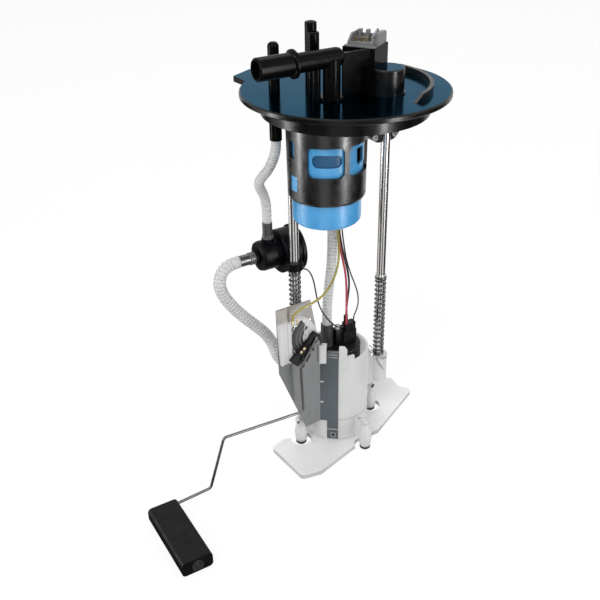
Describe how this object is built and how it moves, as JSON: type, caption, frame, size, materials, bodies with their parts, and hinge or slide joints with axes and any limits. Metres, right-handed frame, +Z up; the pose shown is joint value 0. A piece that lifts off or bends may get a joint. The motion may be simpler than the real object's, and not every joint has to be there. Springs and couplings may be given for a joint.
{
  "type": "fuel pump module",
  "caption": "In-tank fuel pump module: black flange with nipples and connector, windowed filter housing, two guide rods with springs, reservoir on a wide foot, level sender and float.",
  "frame": {"origin": "centre of the flange's sealing face, on its underside", "axes": "+Z up through the flange; +X from the left guide rod to the right one; the level sender is on -Y"},
  "size_m": [0.2786, 0.1564, 0.3628],
  "materials": {
    "black_plastic": "glossy moulded black",
    "grey_plastic": "moulded grey",
    "blue_plastic": "moulded light blue",
    "white_plastic": "translucent white",
    "paper": "pleated paper",
    "steel": "polished",
    "spring_steel": "bright drawn",
    "zinc_sheet": "galvanised",
    "hose": "translucent corrugated",
    "sleeve": "dark soft",
    "rubber": "black",
    "brass": "plain",
    "ceramic": "printed ceramic",
    "red_lead": "smooth insulation",
    "black_lead": "smooth insulation",
    "yellow_lead": "smooth insulation",
    "copper": "wound",
    "foam": "closed-cell foam"
  },
  "bodies": {
    "flange": {"flange_plate": "black_plastic", "supply_elbow": "black_plastic", "return_nipple": "black_plastic", "vent_nipple_short": "black_plastic", "vent_nipple_tall": "black_plastic", "vent_valve_cap": "black_plastic", "connector_body": "black_plastic", "connector_insert": "grey_plastic", "connector_terminals": "brass", "filter_housing": "black_plastic", "filter_cartridge": "blue_plastic", "filter_element": "paper", "guide_rod_left": "steel", "guide_rod_right": "steel", "rod_bracket": "black_plastic", "bracket_screws": "steel", "regulator_body": "black_plastic", "regulator_cover": "black_plastic", "regulator_clip": "black_plastic", "regulator_inlet_sleeve": "sleeve", "regulator_outlet_sleeve": "sleeve", "spring_left": "spring_steel", "spring_right": "spring_steel", "spring_washer_right": "spring_steel", "hose_a": "hose", "hose_b": "hose", "hose_c": "hose", "wire_red": "red_lead", "wire_black": "black_lead", "wire_loop": "black_lead", "wire_yellow": "yellow_lead", "wire_ground": "black_lead"},
    "reservoir": {"reservoir_cup": "white_plastic", "reservoir_base": "white_plastic", "foot_plate": "white_plastic", "foot_tips": "rubber", "pump_can": "steel", "pump_cap": "black_plastic", "pump_connector": "black_plastic", "pump_outlet_sleeve": "sleeve", "pump_isolator": "rubber", "inlet_strainer": "white_plastic", "check_valve": "rubber", "spring_end_clip": "spring_steel", "sender_bracket": "zinc_sheet", "sender_card": "white_plastic", "resistor_plate": "ceramic", "sender_terminals": "brass"},
    "float_arm": {"wiper_holder": "black_plastic", "contact_rivets": "brass", "float_arm_wire": "steel", "float_washer": "spring_steel"},
    "float": {"float": "foam"},
    "pump_rotor": {"pump_armature": "copper", "pump_impeller": "ceramic"}
  },
  "joints": [
    {"name": "reservoir_slide", "type": "slide", "parent": "flange", "child": "reservoir", "axis": [0, 0, 1], "range_m": [0, 0.02], "stiffness_N_per_m": 500, "springref_m": -0.05, "deforming": ["spring_left", "spring_right", "hose_b", "hose_c", "wire_red", "wire_black", "wire_loop", "wire_yellow", "wire_ground"]},
    {"name": "float_arm_hinge", "type": "hinge", "parent": "reservoir", "child": "float_arm", "pos_m": [-0.0271, 0, -0.1939], "axis": [0, 1, 0], "range_deg": [0, 78]},
    {"name": "float_swivel", "type": "hinge", "parent": "float_arm", "child": "float", "pos_m": [-0.1722, -0.038, -0.306], "axis": [0, 1, 0], "continuous": true},
    {"name": "pump_spin", "type": "hinge", "parent": "reservoir", "child": "pump_rotor", "pos_m": [0.008, 0.021, -0.264], "axis": [0, 0, 1], "continuous": true}
  ]
}
